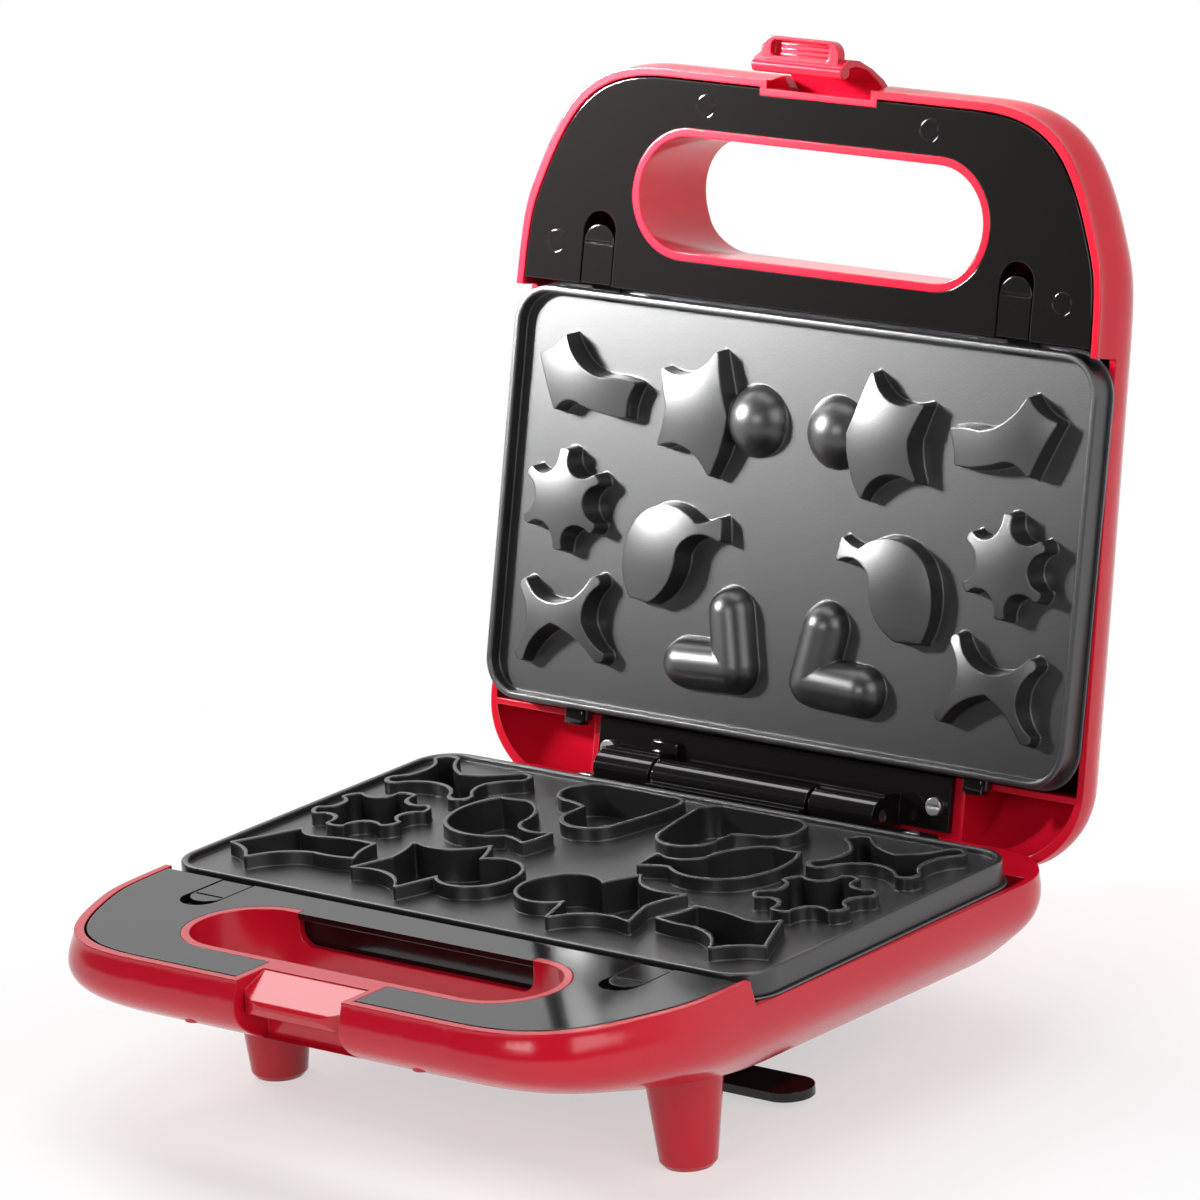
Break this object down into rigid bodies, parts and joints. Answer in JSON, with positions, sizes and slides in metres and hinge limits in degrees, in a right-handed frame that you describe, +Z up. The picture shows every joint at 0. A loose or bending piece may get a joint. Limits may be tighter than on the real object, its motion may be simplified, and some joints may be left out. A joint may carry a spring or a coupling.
{
  "type": "sandwich maker",
  "caption": "Hinged countertop snack maker with shaped non-stick plates, handle openings in both halves, a front latch and clips that release the plates",
  "frame": {"origin": "centre of the bounding box's footprint on the table, lid open as in the picture", "axes": "+Z up, the handle and latch at -Y, the hinge at +Y, +X to the user's right"},
  "size_m": [0.2388, 0.304, 0.2983],
  "materials": {
    "red_gloss": "high gloss moulded plastic",
    "black_plastic": "satin black heat-resistant plastic",
    "rubber_black": "matt rubber",
    "plate_coating": "dark non-stick coating on cast aluminium",
    "bare_sheet": "bare pressed sheet",
    "heater_sheath": "dull steel tube",
    "ceramic": "glazed cream body",
    "plated_steel": "plated steel",
    "red_lens": "clear red",
    "green_lens": "clear green",
    "lamp_glass": "small neon lamp"
  },
  "bodies": {
    "base": {"base_housing": "red_gloss", "base_cover": "black_plastic", "lower_plate": "plate_coating", "lower_heat_shield": "bare_sheet", "lower_heater": "heater_sheath", "lower_thermostat": "ceramic", "thermal_fuse": "plated_steel", "terminal_block": "ceramic", "cord_gland": "rubber_black", "cord_wrap": "black_plastic", "wrap_screws": "plated_steel", "rear_feet": "rubber_black", "lower_shield_screws": "plated_steel", "hinge_block": "black_plastic", "hinge_block_screws": "plated_steel", "hinge_pin": "plated_steel"},
    "lid": {"lid_housing": "red_gloss", "lid_cover": "black_plastic", "lid_cover_screws": "plated_steel", "screw_caps": "black_plastic", "upper_plate": "plate_coating", "upper_heat_shield": "bare_sheet", "upper_heater": "heater_sheath", "upper_thermostat": "ceramic", "upper_shield_screws": "plated_steel", "hinge_leaf": "black_plastic", "hinge_leaf_screws": "plated_steel", "power_lens": "red_lens", "ready_lens": "green_lens", "indicator_lamps": "lamp_glass", "latch_pin": "plated_steel"},
    "lower_clip_left": {"lower_clip_left": "black_plastic"},
    "lower_clip_right": {"lower_clip_right": "black_plastic"},
    "upper_clip_left": {"upper_clip_left": "black_plastic"},
    "upper_clip_right": {"upper_clip_right": "black_plastic"},
    "latch": {"latch": "red_gloss"}
  },
  "joints": [
    {"name": "lid_hinge", "type": "hinge", "parent": "base", "child": "lid", "pos_m": [0, 0.07399, 0.0641], "axis": [1, 0, 0], "range_deg": [0, 103.1]},
    {"name": "latch_hinge", "type": "hinge", "parent": "lid", "child": "latch", "pos_m": [0, 0.14129, 0.27124], "axis": [1, 0, 0], "range_deg": [-35, 6]},
    {"name": "lower_clip_left_slide", "type": "slide", "parent": "base", "child": "lower_clip_left", "axis": [0, -1, 0], "range_m": [0, 0.004], "stiffness_N_per_m": 600},
    {"name": "lower_clip_right_slide", "type": "slide", "parent": "base", "child": "lower_clip_right", "axis": [0, -1, 0], "range_m": [0, 0.004], "stiffness_N_per_m": 600},
    {"name": "upper_clip_left_slide", "type": "slide", "parent": "lid", "child": "upper_clip_left", "axis": [0, 0.2266, 0.974], "range_m": [0, 0.004], "stiffness_N_per_m": 600},
    {"name": "upper_clip_right_slide", "type": "slide", "parent": "lid", "child": "upper_clip_right", "axis": [0, 0.2266, 0.974], "range_m": [0, 0.004], "stiffness_N_per_m": 600}
  ]
}
